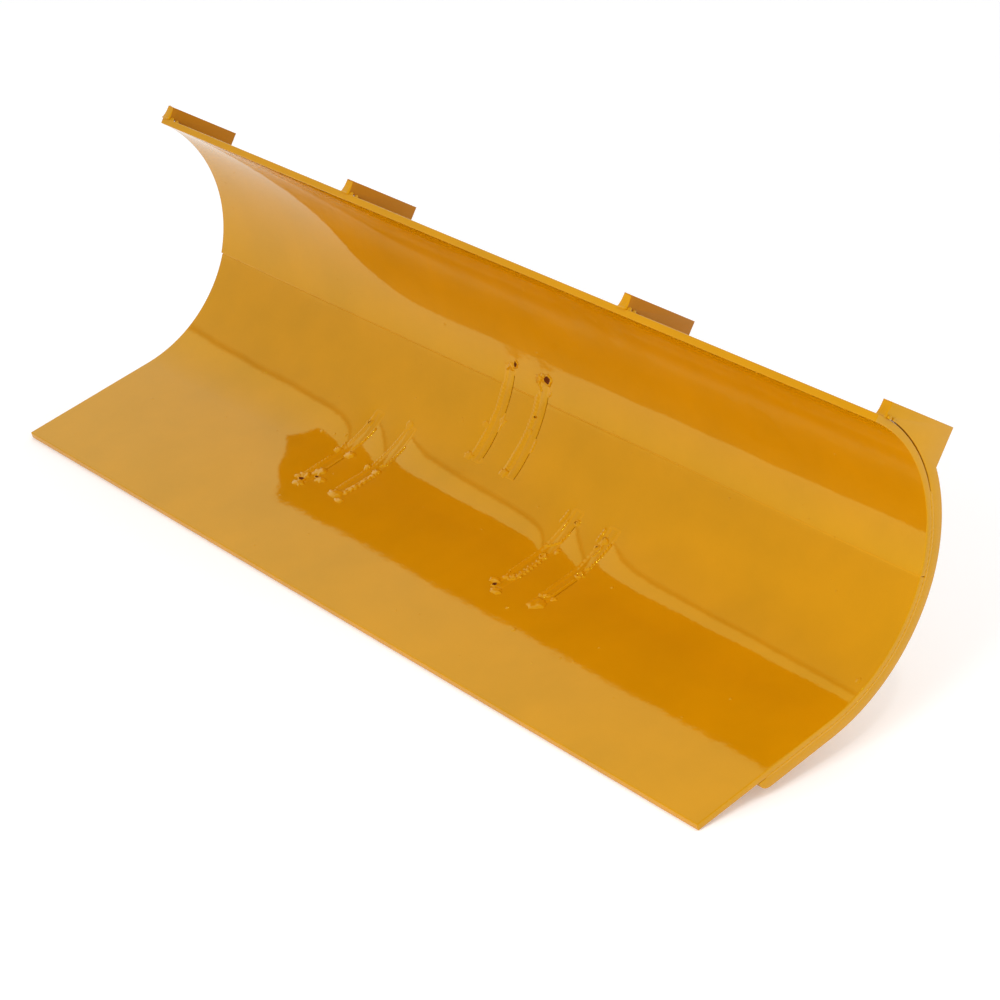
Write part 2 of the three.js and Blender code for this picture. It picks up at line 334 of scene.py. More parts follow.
# ------------------------------------------------------------------ shell plates
CORNER = 1.0 * MM
END_ROUND = 0.8 * MM
LOWER_END_TAPER = 2.6 * MM
END_TAPER_REACH = 40 * MM
ROUND_ANGLES = np.radians([30, 60, 90])
COARSE_X, FINE_X, FINE_X_REACH = 5 * MM, 1.2 * MM, 58 * MM
COARSE_RUN, FINE_RUN = 3.5 * MM, 1.5 * MM
FINE_FROM, FINE_LIP = 118 * MM, 9 * MM
SUPPORT_X, SUPPORT_RUN = 0.6 * MM, 0.5 * MM  # grid lines that keep the rounded edges crisp


def plate_lines():
    """Grid lines in X, and how far the section shrinks at each to round the plate's ends."""
    slots_x = [edge for lug in LUGS for edge in (lug.x - SLOT_LEFT, lug.x + SLOT_RIGHT)]
    centres = sorted({round((a.x + b.x) / 2, 4) for a, b in zip(LUGS[::2], LUGS[1::2])})
    windows = [(c - FINE_X_REACH, c + FINE_X_REACH) for c in centres]
    low, high = LEFT_END + END_ROUND, RIGHT_END - END_ROUND
    inner = graded_lines(low, high, COARSE_X, FINE_X, windows, slots_x)
    inner = np.insert(inner, [1, len(inner) - 1], [inner[0] + SUPPORT_X, inner[-1] - SUPPORT_X])
    turn = END_ROUND * np.sin(ROUND_ANGLES)
    inset = END_ROUND * (1 - np.cos(ROUND_ANGLES))
    x = np.concatenate([(inner[0] - turn)[::-1], inner, inner[-1] + turn])
    shrink = np.concatenate([inset[::-1], np.zeros(len(inner)), inset])
    return x, shrink


def section_loop(runs, across, start, stop):
    """Along and out round the plate's section, a row per grid line, and points in a rim."""
    radius = CORNER - across
    inner_turn = ROUND_ANGLES[None]
    outer_turn = (ROUND_ANGLES - ROUND_ANGLES[0])[None]
    rim_along = np.concatenate(
        [stop - CORNER + radius * np.sin(inner_turn), stop - CORNER + radius * np.cos(outer_turn)], 1
    )
    rim_out = np.concatenate(
        [CORNER - radius * np.cos(inner_turn), PLATE - CORNER + radius * np.sin(outer_turn)], 1
    )
    shape = (len(across), len(runs))
    face_along = np.broadcast_to(runs, shape)
    inner_out = np.broadcast_to(across, shape)
    outer_out = np.broadcast_to(PLATE - across, shape)
    lip_along = start + stop - rim_along[:, ::-1]
    along = np.concatenate([face_along, rim_along, face_along[:, ::-1], lip_along], 1)
    out = np.concatenate([inner_out, rim_out, outer_out, rim_out[:, ::-1]], 1)
    return along, out, rim_along.shape[1]


def shell_plate(name, start, stop):
    """A rolled plate with dents, rounded edges and slots, lofted from its section."""
    x, shrink = plate_lines()
    slot_ends = [edge for lug in LUGS for edge in (lug.start, lug.stop)]
    windows = [(FINE_FROM, TOP), (start, start + FINE_LIP)]
    runs = graded_lines(start + CORNER, stop - CORNER, COARSE_RUN, FINE_RUN, windows, slot_ends)
    runs = np.insert(runs, [1, len(runs) - 1], [runs[0] + SUPPORT_RUN, runs[-1] - SUPPORT_RUN])
    n = len(runs)
    count = len(x)
    along, out, m = section_loop(runs, shrink[:, None], start, stop)
    length = along.shape[1]
    out = out + dent(x[:, None], along)
    near_left = 1 - smoothstep(x[:, None], LEFT_END, LEFT_END + END_TAPER_REACH)
    taper = LOWER_END_TAPER * np.clip(along / SEAM, 0, 1) if start == 0 else 0.0
    vertices = shell_point(x[:, None] + taper * near_left, along, out).reshape(-1, 3)

    def index(i, j):
        return i * length + j % length

    removed = np.zeros((count - 1, length), bool)
    mid_x = (x[:-1] + x[1:]) / 2
    mid_along = (along[count // 2] + np.roll(along[count // 2], -1)) / 2
    for lug in LUGS:
        in_x = (mid_x > lug.x - SLOT_LEFT) & (mid_x < lug.x + SLOT_RIGHT)
        in_run = (mid_along > lug.start) & (mid_along < lug.stop)
        removed |= in_x[:, None] & in_run[None]
    i, j = np.nonzero(~removed)
    faces = np.stack([index(i, j), index(i + 1, j), index(i + 1, j + 1), index(i, j + 1)], 1)
    faces = faces.tolist()

    def outer_of(k):
        return n + m + (n - 1 - k)

    def wall(i, first, last, facing):
        """Closes the plate's section at line i between two runs, facing -X or +X."""
        polygons = [[k, k + 1, outer_of(k + 1), outer_of(k)] for k in range(first, last)]
        if last == n - 1:
            polygons.append([n - 1, *range(n, n + m), outer_of(n - 1)])
        if first == 0:
            polygons.append([outer_of(0), *range(2 * n + m, 2 * n + 2 * m), 0])
        for polygon in polygons:
            loop = [index(i, j) for j in polygon]
            faces.append(loop if facing < 0 else loop[::-1])

    wall(0, 0, n - 1, -1)
    wall(count - 1, 0, n - 1, 1)
    for lug in LUGS:
        left = int(np.argmin(abs(x - (lug.x - SLOT_LEFT))))
        right = int(np.argmin(abs(x - (lug.x + SLOT_RIGHT))))
        if lug.stop <= start or lug.start >= stop:
            continue
        first = int(np.argmin(abs(runs - lug.start))) if lug.start > start else 0
        last = int(np.argmin(abs(runs - lug.stop))) if lug.stop < stop else n - 1
        wall(left, first, last, 1)
        wall(right, first, last, -1)
        for k, turned in ((first, False), (last, True)):
            if (k == 0 and lug.start < start) or (k == n - 1 and lug.stop > stop):
                continue
            for i in range(left, right):
                loop = [index(i, k), index(i + 1, k), index(i + 1, outer_of(k)), index(i, outer_of(k))]
                faces.append(loop[::-1] if turned else loop)
    obj = new_object(name, vertices, faces, [SHELL_PAINT])
    return finish_piece(obj, "shell_paint", name)


shell_plate("floor_plate", 0.0, SEAM - SEAM_GAP / 2)
shell_plate("upper_plate", SEAM + SEAM_GAP / 2, TOP)


# ------------------------------------------------------------------ flat-cut pieces
def flat_cut(name, outlines, x, width, bevel, material):
    """A plate cut to outlines in the YZ plane (the first outside, the rest holes)."""
    curve = bpy.data.curves.new(name, "CURVE")
    curve.dimensions = "2D"
    curve.fill_mode = "BOTH"
    curve.extrude = width / 2 - bevel
    curve.bevel_depth = bevel
    curve.bevel_resolution = 2
    curve.offset = -bevel
    for outline in outlines:
        spline = curve.splines.new("POLY")
        spline.points.add(len(outline) - 1)
        for point, (y, z) in zip(spline.points, outline):
            point.co = (y, z, 0, 1)
        spline.use_cyclic_u = True
    carrier = bpy.data.objects.new(name + "_outline", curve)
    bpy.context.scene.collection.objects.link(carrier)
    bpy.context.view_layer.update()
    evaluated = carrier.evaluated_get(bpy.context.evaluated_depsgraph_get())
    mesh = bpy.data.meshes.new_from_object(evaluated)
    bpy.data.objects.remove(carrier)
    to_row = Matrix(((0, 0, 1, x), (1, 0, 0, 0), (0, 1, 0, 0), (0, 0, 0, 1)))
    mesh.transform(to_row)
    work = bmesh.new()
    work.from_mesh(mesh)
    bmesh.ops.remove_doubles(work, verts=work.verts, dist=0.005 * MM)
    bmesh.ops.recalc_face_normals(work, faces=work.faces)
    work.to_mesh(mesh)
    work.free()
    mesh.name = name
    mesh.materials.clear()
    mesh.materials.append(material)
    mesh.shade_smooth()
    mesh.set_sharp_from_angle(angle=math.radians(35))
    obj = bpy.data.objects.new(name, mesh)
    bpy.context.scene.collection.objects.link(obj)
    return obj


def run_points(start, stop, out, step=3 * MM):
    steps = max(2, int(abs(stop - start) / step))
    along = np.linspace(start, stop, steps + 1)
    return shell_point(0, along, out)[:, 1:]


def lifted_run(start, stop):
    """The rib's inner edge, which stands off the plate a little towards the ear."""
    along = np.linspace(start, stop, 170)
    lift = RIB_LIFT * smoothstep(along, *RIB_LIFT_RUN)
    return shell_point(0, along, RIB_FACE + lift)[:, 1:]


def top_edge_point(down, out):
    y, z, slope = (float(v) for v in section(TOP))
    return (
        y - down * math.cos(slope) + out * math.sin(slope),
        z - down * math.sin(slope) - out * math.cos(slope),
    )


def rib_outline(setback):
    setback = setback + EAR_STEP
    inner_end = TOP - ROLL * math.asin(setback / (ROLL + RIB_FACE))
    ear_back = setback + EAR_LENGTH
    outer_end = TOP - ROLL * math.asin(ear_back / (ROLL + RIB_BACK))
    radius = RIB_BACK - RIB_FACE
    angles = np.linspace(0, math.pi / 2, 12)
    foot_along = RIB_FOOT + radius * (1 - np.cos(angles))
    foot = shell_point(0, foot_along, RIB_FACE + radius * np.sin(angles))[:, 1:]
    return np.concatenate([
        foot,
        run_points(RIB_FOOT + radius + 0.5 * MM, outer_end, RIB_BACK),
        [top_edge_point(ear_back, PLATE + EAR_HEIGHT)],
        [top_edge_point(setback, PLATE + EAR_HEIGHT)],
        lifted_run(inner_end, RIB_FOOT + 0.5 * MM),
    ])


for rib, setback in RIB_SETBACKS.items():
    # Painted shade: every rib but the right end one gets the darker copy of the paint.
    coat = END_RIB_PAINT if rib == "right_end" else SHADED_RIB_PAINT
    outlines = [rib_outline(setback)]
    piece = flat_cut(f"rib_{rib}", outlines, rib_x(rib), RIB_WIDTH, RIB_BEVEL, coat)
    finish_piece(piece, "rib_paint", f"rib_{rib}")


def circle(y, z, radius, steps=64):
    angles = np.linspace(0, 2 * math.pi, steps, endpoint=False)
    return np.stack([y + radius * np.cos(angles), z + radius * np.sin(angles)], 1)


def tangent_angle(point, lug, side):
    """The angle at which a line from a point touches the eye's rim."""
    dy, dz = point[0] - lug.pin_y, point[1] - lug.pin_z
    return math.atan2(dz, dy) + side * math.acos(EYE_RADIUS / math.hypot(dy, dz))


def lug_outline(lug):
    start, stop = lug.start + LUG_FIT, lug.stop - LUG_FIT
    to_ground = float(section(start)[1]) / math.cos(FLOOR_PITCH)
    reach = PLATE + LUG_SHOULDER if lug.upper else to_ground
    lower = shell_point(0, start, reach)[1:]
    upper = shell_point(0, stop, PLATE + LUG_SHOULDER)[1:]
    first = tangent_angle(lower, lug, 1) if lug.upper else -math.pi / 2
    last = tangent_angle(upper, lug, -1)
    if last < first:
        last += 2 * math.pi
    angles = np.linspace(first, last, 40)
    rim_y = lug.pin_y + EYE_RADIUS * np.cos(angles)
    rim_z = lug.pin_z + EYE_RADIUS * np.sin(angles)
    rim = np.stack([rim_y, rim_z], 1)
    along = np.linspace(stop, start, 60)
    face = shell_point(lug.x, along, dent(lug.x, along))[:, 1:]
    return np.concatenate([face, [lower], rim, [upper]])


for lug in LUGS:
    bore = circle(lug.pin_y, lug.pin_z, PIN_BORE / 2)
    outline = lug_outline(lug)
    piece = flat_cut(f"lug_{lug.name}", [outline, bore], lug.x, LUG_WIDTH, LUG_BEVEL, LUG_PAINT)
    finish_piece(piece, "lug_paint", f"lug_{lug.name}")
    boss_x = lug.x + lug.inward * (LUG_WIDTH / 2 + BOSS_RISE - BOSS_WIDTH / 2)
    rim = circle(lug.pin_y, lug.pin_z, BOSS_RADIUS)
    bore = circle(lug.pin_y, lug.pin_z, PIN_BORE / 2 - BOSS_SLACK)
    piece = flat_cut(f"boss_{lug.name}", [rim, bore], boss_x, BOSS_WIDTH, BOSS_BEVEL, LUG_PAINT)
    finish_piece(piece, "lug_paint")


# ------------------------------------------------------------------ welds
def unit(vectors):
    return vectors / np.linalg.norm(vectors, axis=-1, keepdims=True)


def sweep(body, path, a, b, profile, ripple=0.10, pitch=3.2 * MM, taper=3 * MM, seed=0.0):
    """A bead along a path: profile points on axes a and b, rippled like laid weld metal."""
    path, profile = np.asarray(path), np.asarray(profile)
    a = np.broadcast_to(a, path.shape)
    b = np.broadcast_to(b, path.shape)
    travel = np.concatenate([[0], np.cumsum(np.linalg.norm(np.diff(path, axis=0), axis=1))])
    end = np.minimum(travel, travel[-1] - travel) / taper
    scale = np.sqrt(np.clip(1 - (1 - np.clip(end, 0.05, 1)) ** 2, 0, 1))
    spread = np.linspace(0, math.pi, len(profile))
    phase = (travel[:, None] - 0.35 * pitch * np.sin(spread)[None] * 2) / pitch + seed
    step = np.mod(phase, 1)
    scallops = np.where(step < 0.8, step / 0.8, (1 - step) / 0.2)
    waves = 2 * ripple * (scallops - 0.5)
    drift = np.array([
        noise.noise(Vector((t / (9 * MM) + seed * 7, seed, 0))) for t in travel
    ])
    factor = scale[:, None] * (1 + waves * np.sin(spread)[None] + 0.12 * drift[:, None])
    offset_a = profile[None, :, 0] * factor
    offset_b = profile[None, :, 1] * factor
    vertices = path[:, None] + offset_a[..., None] * a[:, None] + offset_b[..., None] * b[:, None]
    rings, sides = vertices.shape[:2]
    faces = []
    for i in range(rings - 1):
        for j in range(sides):
            k = (j + 1) % sides
            faces.append((i * sides + j, (i + 1) * sides + j, (i + 1) * sides + k, i * sides + k))
    faces.append(tuple(range(sides)))
    faces.append(tuple((rings - 1) * sides + j for j in reversed(range(sides))))
    handed = np.dot(np.cross(a[0], b[0]), path[1] - path[0])
    area = np.sum(
        profile[:, 0] * np.roll(profile[:, 1], -1) - np.roll(profile[:, 0], -1) * profile[:, 1]
    )
    if handed * area > 0:
        faces = [f[::-1] for f in faces]
    body.add(vertices, faces)


def dome(width, height, sink, steps=11):
    """Half-round profile, wider than it is high, let into the plate by sink."""
    angles = np.linspace(0, math.pi, steps)
    top = np.stack([width / 2 * np.cos(angles), height * np.sin(angles)], 1)
    return np.concatenate([top, [[-width / 2, -sink], [width / 2, -sink]]])


def swell(width, height, sink, steps=13):
    """A low rise whose edges run smoothly into the plate."""
    t = np.linspace(1, -1, steps)
    top = np.stack([width / 2 * t, height * (0.5 + 0.5 * np.cos(math.pi * t)) - 0.04 * MM], 1)
    return np.concatenate([top, [[-width / 2, -sink], [width / 2, -sink]]])


def fillet(leg, sink, steps=11):
    """Fillet profile with a slightly full face."""
    angles = np.linspace(0, math.pi / 2, steps)
    reach = leg / (np.cos(angles) + np.sin(angles)) * (1 + 0.16 * np.sin(2 * angles))
    face = np.stack([reach * np.cos(angles), reach * np.sin(angles)], 1)
    return np.concatenate([face, [[-sink, leg], [-sink, -sink], [leg, -sink]]])


def hollow_fillet(ahead, up, sink, steps=9):
    """Fillet profile with a hollow face."""
    angles = np.linspace(0, math.pi / 2, steps)
    face = np.stack([ahead * (1 - np.sin(angles)), up * (1 - np.cos(angles))], 1)
    root = [[-sink, up], [-sink, -sink], [ahead, -sink]]
    return np.concatenate([face + [0.15 * MM, 0.15 * MM], root])


def along_path(x, start, stop, out, step=0.8 * MM):
    """Points beside a plate, and the outward direction at each."""
    steps = max(3, int(abs(stop - start) / step))
    along = np.linspace(start, stop, steps + 1)
    depth = out + dent(x, along)
    return shell_point(x, along, depth), outward(along)


def outward(along):
    slope = section(along)[2]
    return np.stack([np.zeros_like(slope), np.sin(slope), -np.cos(slope)], -1)


X_AXIS = np.array([1.0, 0.0, 0.0])


def side_fillets(name, x, half_width, sides, leg, start, stop, seed):
    """Fillets beside a plate that stands on the back of the shell, one piece per side."""
    for side in sides:
        letter = "a" if side < 0 else "b"
        body = Body()
        path, out = along_path(x + side * half_width, start, stop, PLATE - 0.2 * MM)
        sweep(body, path, side * X_AXIS, out, fillet(leg, 1.0 * MM), seed=seed + side)
        full_name = name.format(letter)
        finish_piece(body.build(full_name, [WELD_PAINT]), "weld_paint", full_name)


EAR_TACKS = [0.5 * MM, 9 * MM]
EAR_TACK_LENGTH = 6 * MM
EAR_WELD_AHEAD = 3.2 * MM
EAR_WELD_UP = 14.6 * MM
LUG_FILLET = 8 * MM
RIB_FILLET = 6 * MM
SEAM_BEAD_WIDTH = 12 * MM
SEAM_BEAD_HEIGHT = 3 * MM
RIB_STITCHES = {"low": (88 * MM, 130 * MM), "high": (395 * MM, 505 * MM)}
RIB_SIDES = {"left_end": [1], "left_inner": [-1, 1], "right_inner": [-1, 1], "right_end": [-1]}

for number, lug in enumerate(LUGS):
    side_fillets(
        f"weld_lug_{lug.name}_{{}}", lug.x, LUG_WIDTH / 2, [-1, 1], LUG_FILLET,
        lug.start + LUG_FIT, lug.stop - LUG_FIT, 0.37 * number,
    )
for number, (rib, sides) in enumerate(RIB_SIDES.items()):
    for stitch, (start, stop) in RIB_STITCHES.items():
        side_fillets(
            f"weld_rib_{rib}_{{}}_{stitch}", rib_x(rib), RIB_WIDTH / 2, sides, RIB_FILLET,
            start, stop, 3.1 + 0.53 * number,
        )

for number in range(1, 6):
    name = f"weld_seam_{number}"
    low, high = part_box(name)
    across = np.arange(low.x, high.x, 0.9 * MM)
    path = shell_point(across, SEAM, PLATE - 0.1 * MM + dent(across, SEAM))
    slope = float(section(SEAM)[2])
    b = np.array([0, math.sin(slope), -math.cos(slope)])
    a = np.array([0, math.cos(slope), math.sin(slope)])
    body = Body()
    profile = dome(SEAM_BEAD_WIDTH, SEAM_BEAD_HEIGHT, 0.6 * MM)
    sweep(body, path, a, b, profile, pitch=4 * MM, taper=6 * MM, seed=number)
    finish_piece(body.build(name, [WELD_PAINT]), "weld_paint", name)

# The root of the seam weld fills the joint to just under the inside face.
SEAM_ROOT_DEPTH = 0.55 * MM
SEAM_ROOT_RISE = 0.40 * MM
upper_lugs = [lug for lug in LUGS if lug.upper]
breaks = [LEFT_END + LOWER_END_TAPER + 1 * MM]
for lug in upper_lugs:
    breaks += [lug.x - SLOT_LEFT, lug.x + SLOT_RIGHT]
breaks.append(RIGHT_END - 0.3 * MM)
body = Body()
for low_x, high_x in zip(breaks[::2], breaks[1::2]):
    across = np.arange(low_x, high_x + 0.5 * MM, 1.5 * MM)
    depth = SEAM_ROOT_DEPTH - SEAM_ROOT_RISE * smoothstep(across, 0.1, 0.5)
    path = shell_point(across, SEAM, depth + dent(across, SEAM))
    slope = float(section(SEAM)[2])
    b = -np.array([0, math.sin(slope), -math.cos(slope)])
    a = np.array([0, math.cos(slope), math.sin(slope)])
    profile = dome(3 * MM, 0.15 * MM, 5 * MM)
    sweep(body, path, a, b, profile, ripple=0.05, taper=0.3 * MM, seed=low_x)
finish_piece(body.build("weld_seam_root", [WELD_PAINT]), "weld_paint")

for number, (rib, setback) in enumerate(RIB_SETBACKS.items()):
    name = f"weld_ear_{rib}"
    low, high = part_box(name)
    across = np.linspace(low.x, high.x, 17)
    foot = top_edge_point(setback + EAR_STEP, PLATE)
    path = np.stack([across, np.full(17, foot[0]), np.full(17, foot[1])], 1)
    slope = float(section(TOP)[2])
    out = np.array([0, math.sin(slope), -math.cos(slope)])
    ahead = np.array([0, math.cos(slope), math.sin(slope)])
    body = Body()
    profile = hollow_fillet(EAR_WELD_AHEAD, EAR_WELD_UP, 1 * MM)
    sweep(body, path, ahead, out, profile, 0.12, 3 * MM, 0.5 * MM, number)
    for row, down in enumerate(EAR_TACKS):
        start = setback + EAR_STEP + down
        foot = np.array([
            [high.x, *top_edge_point(start + t, PLATE)] for t in np.linspace(0, EAR_TACK_LENGTH, 9)
        ])
        sweep(
            body, foot, X_AXIS, out, fillet((3.2 - row) * MM, 1 * MM), 0.3, 3 * MM, 2 * MM,
            number + row,
        )
    finish_piece(body.build(name, [WELD_PAINT]), "weld_paint", name)


# ------------------------------------------------------------------ welds inside the slots
def blob(body, x, along, reach_x, reach_along, height, seed=0.0, rough=0.25):
    """A lump of weld metal on the inside face, higher towards the top edge and the right."""
    rings, sides = 14, 36
    spread = np.linspace(0, 1, rings + 1)[1:]
    turn = np.linspace(0, 2 * math.pi, sides, endpoint=False)
    edge = np.array([
        1 + rough * noise.noise(Vector((math.cos(t) * 1.7, math.sin(t) * 1.7, seed))) * 2
        for t in turn
    ])
    px = x + reach_x * spread[:, None] * edge[None] * np.cos(turn)[None]
    pa = along + reach_along * spread[:, None] * edge[None] * np.sin(turn)[None]
    px = np.concatenate([[x], px.ravel()])
    pa = np.concatenate([[along], pa.ravel()])
    level = np.concatenate([[0.0], np.repeat(spread, sides)])
    lump = np.array([
        noise.noise(Vector((u / (6 * MM), v / (6 * MM), seed + 3))) for u, v in zip(px, pa)
    ])
    tilt = 1 + 0.5 * (pa - along) / reach_along + 0.3 * (px - x) / reach_x
    rise = height * np.clip(1 - level**4, 0, 1) * tilt * (1 + 0.3 * lump) * 0.75
    rise = rise + 0.1 * MM - 0.18 * MM * level**6
    top = shell_point(px, pa, dent(px, pa) - rise)
    base_x, base_a = px[-sides:], pa[-sides:]
    base = shell_point(base_x, base_a, dent(base_x, base_a) + 0.7 * MM)
    vertices = np.concatenate([top, base])
    body.add(vertices, disc_faces(rings, sides))


def disc_faces(rings, sides):
    """Faces of a closed disc: a middle vertex, rings outwards, then one ring underneath."""
    faces = []
    for s in range(sides):
        t = (s + 1) % sides
        faces.append((0, 1 + s, 1 + t))
        for r in range(rings):
            p, q = 1 + r * sides, 1 + (r + 1) * sides
            faces.append((p + s, q + s, q + t, p + t))
    faces.append(tuple(1 + rings * sides + s for s in reversed(range(sides))))
    return faces


CRATER_WALL = [
    (0.30, 0.50), (0.60, 0.55), (0.80, 0.75), (0.95, 1.15), (1.08, 1.35), (1.22, 1.20),
    (1.38, 0.70), (1.55, 0.10),
]


def crater(body, x, along, reach_x, reach_along, seed):
    """An open crater left where a weld stopped, with a bowl of painted shade inside a rounded rim."""
    sides = 28
    turn = np.linspace(0, 2 * math.pi, sides, endpoint=False)
    uneven = np.array([
        1 + 0.22 * noise.noise(Vector((math.cos(t) * 1.5, math.sin(t) * 1.5, seed))) * 2
        for t in turn
    ])
    spread = np.array([w[0] for w in CRATER_WALL])[:, None] * uneven[None]
    level = np.repeat([w[1] for w in CRATER_WALL], sides) * MM
    px = np.concatenate([[x], (x + reach_x * spread * np.cos(turn)[None]).ravel()])
    pa = np.concatenate([[along], (along + reach_along * spread * np.sin(turn)[None]).ravel()])
    level = np.concatenate([[0.45 * MM], level])
    top = shell_point(px, pa, dent(px, pa) - level)
    under = shell_point(px[-sides:], pa[-sides:], dent(px[-sides:], pa[-sides:]) + 0.6 * MM)
    faces = disc_faces(len(CRATER_WALL), sides)
    # The bowl inside the rim gets the dark crater colour: painted shade of a deep pit.
    shaded_bowl_end = 1 + 4 * sides
    slots = [1 if max(face) < shaded_bowl_end else 0 for face in faces]
    body.add(np.concatenate([top, under]), faces, slots)


def ridge(
    body, points, width, height, seed=0.0, ripple=0.26, pitch=4.5 * MM, taper=4 * MM, lift=0.0
):
    """A low bead on the inside face through (x, along) points."""
    points = np.array(points, float) * MM
    lengths = np.concatenate([[0], np.cumsum(np.hypot(*np.diff(points, axis=0).T))])
    steps = max(6, int(lengths[-1] / (0.7 * MM)))
    at = np.linspace(0, lengths[-1], steps + 1)
    x = np.interp(at, lengths, points[:, 0])
    along = np.interp(at, lengths, points[:, 1])
    wander = np.array([noise.noise(Vector((t / (14 * MM), seed * 3.7, 5))) for t in at])
    x = x + 0.5 * MM * wander
    path = shell_point(x, along, dent(x, along) - lift)
    inside = -outward(along)
    tangent = unit(np.gradient(path, axis=0))
    a = unit(np.cross(tangent, inside))
    sweep(body, path, a, inside, swell(width, height, 0.7 * MM), ripple, pitch, taper, seed)


# Each row is a bead in millimetres: its (x, along) points, width and height.
SLOT_BEADS = {
    "lower_left_left": [
        ([(-219, 148), (-219, 190)], 4.5, 1.0),
        ([(-219, 204), (-221, 215)], 5.0, 1.2),
        ([(-204, 208), (-203, 216), (-200, 226), (-199, 248)], 4.2, 1.7),
        ([(-204, 164), (-204, 197)], 3.0, 0.7),
        ([(-217, 216), (-216, 262)], 5.0, 0.5),
    ],
    "lower_left_right": [
        ([(-143, 147), (-141, 170), (-142, 191)], 5.0, 0.8),
        ([(-147, 206), (-141, 211), (-139, 244)], 4.4, 1.8),
        ([(-160, 150), (-158, 195)], 4.5, 0.5),
        ([(-158, 203), (-157, 258)], 4.5, 0.5),
    ],
    "lower_right_left": [
        ([(139, 163), (142, 155), (149, 152), (154, 157), (153, 193)], 5.2, 1.4),
        ([(139, 213), (147, 218), (154, 226), (154, 242)], 4.6, 1.8),
        ([(137, 162), (138, 205)], 4.0, 0.5),
        ([(142, 236), (141, 255)], 4.0, 1.1),
        ([(133, 246), (134, 264)], 6.0, 0.9),
    ],
    "lower_right_right": [
        ([(209, 210), (213, 213), (214, 251)], 4.8, 2.0),
        ([(198, 152), (198, 205)], 4.0, 0.4),
        ([(194, 245), (194, 264)], 6.0, 1.3),
        ([(203, 227), (206, 238), (204, 246)], 5.0, 1.0),
        ([(210, 156), (210, 196)], 3.2, 0.7),
    ],
    "upper_left": [
        ([(-39, 362), (-39, 330), (-40, 300), (-41, 266)], 9.5, 0.6),
        ([(-22.5, 308), (-22.5, 328)], 4.5, 0.7),
        ([(-38, 377), (-31, 384), (-28, 387)], 5.5, 1.3),
    ],
    "upper_right": [
        ([(20, 366), (20, 340), (19, 315), (17, 290), (17, 265)], 11.0, 0.75),
        ([(38.5, 301), (38.5, 317)], 4.5, 1.0),
        ([(17, 385), (20, 377), (25, 370)], 5.5, 1.5),
        ([(38.5, 368), (42, 375)], 4.5, 0.9),
    ],
}

# Each row is a lump in millimetres: x, along, reach in x and along, and height.
SLOT_LUMPS = {
    "lower_left_left": [
        (-213, 145, 9, 6, 1.8),
        (-219, 139, 5, 4, 1.3),
        (-206, 130, 9, 5.5, 1.7),
        (-203, 160, 8.5, 8, 2.0),
        (-189, 149, 8, 5.5, 1.7),
        (-198, 201, 8, 6, 2.4),
        (-220, 200, 5, 5, 1.9),
        (-214, 250, 6, 4.5, 0.8),
    ],
    "lower_left_right": [
        (-151, 142, 11, 8, 2.3),
        (-136, 135, 8, 4, 1.5),
        (-142, 196, 7.5, 5.5, 2.6),
        (-160, 198, 5, 5, 1.8),
        (-155, 268, 6, 6, 0.5),
    ],
    "lower_right_left": [
        (137, 142, 8, 6, 2.0),
        (153, 129, 8.5, 6.0, 2.2),
        (151, 201, 7.0, 6.0, 1.0),
        (160, 214, 4, 5, 1.0),
        (154, 254, 5, 4, 0.9),
    ],
    "lower_right_right": [
        (208, 140, 12, 10, 2.0),
        (211, 202, 6.5, 6.0, 1.0),
        (203, 249, 6, 6, 1.2),
        (200, 240, 5, 4, 0.8),
        (218, 157, 5, 3.5, 1.0),
    ],
    "upper_left": [
        (-29, 383, 6, 5, 1.3),
        (-44, 268, 7, 5, 1.0),
        (-44, 309, 6, 4, 0.6),
        (-22, 320, 5, 5, 0.6),
    ],
    "upper_right": [
        (24, 387, 5, 5, 1.6),
        (18, 383, 6, 6, 1.9),
        (17, 268, 7.5, 5.5, 1.5),
        (23, 322, 5, 4, 0.7),
    ],
}

# Where the joint on the right of a lug is open, in millimetres along.
OPEN_CRACKS = {
    "lower_left_left": [(168, 195)],
    "lower_left_right": [],
    "lower_right_left": [(243, 253)],
    "lower_right_right": [(157, 194)],
    "upper_left": [(330, 374), (272, 306)],
    "upper_right": [(318, 367), (268, 300)],
}

# Craters in millimetres: x, along, and reach in x and along.
CRATERS = {
    "lower_left_left": [(-210, 137, 4.2, 2.2), (-197.5, 150.5, 3.0, 1.6), (-214, 250, 2.0, 1.4)],
    "lower_right_left": [(143.5, 136, 2.6, 3.0), (153, 254, 2.4, 1.4)],
    "lower_right_right": [(201, 252, 2.0, 1.7), (200, 240, 1.6, 1.2)],
    "upper_left": [(-22, 388, 2.4, 3.4)],
    "upper_right": [(32.5, 387, 6.0, 4.2), (24, 340, 1.4, 1.0)],
}

# Rows of lumps in millimetres: x and along of both ends, how many, reach and height.
LUMP_ROWS = {
    "lower_left_right": [(-143, 151, -141, 189, 7, 5.2, 1.9)],
    "lower_right_left": [(143, 153, 153, 163, 3, 4.4, 1.6), (153, 169, 153, 192, 5, 4.4, 1.5)],
    "lower_right_right": [(200, 154, 208, 158, 3, 3.6, 1.2)],
}

# Weld rings in millimetres: x, along and radius.
RINGS = {"lower_right_left": [(151.5, 201, 3.6)], "lower_right_right": [(211.5, 201, 3.4)]}


# From a lug's middle to the joint on either side of it, in millimetres.
LEFT_JOINT, RIGHT_JOINT = 7.6, 6.6


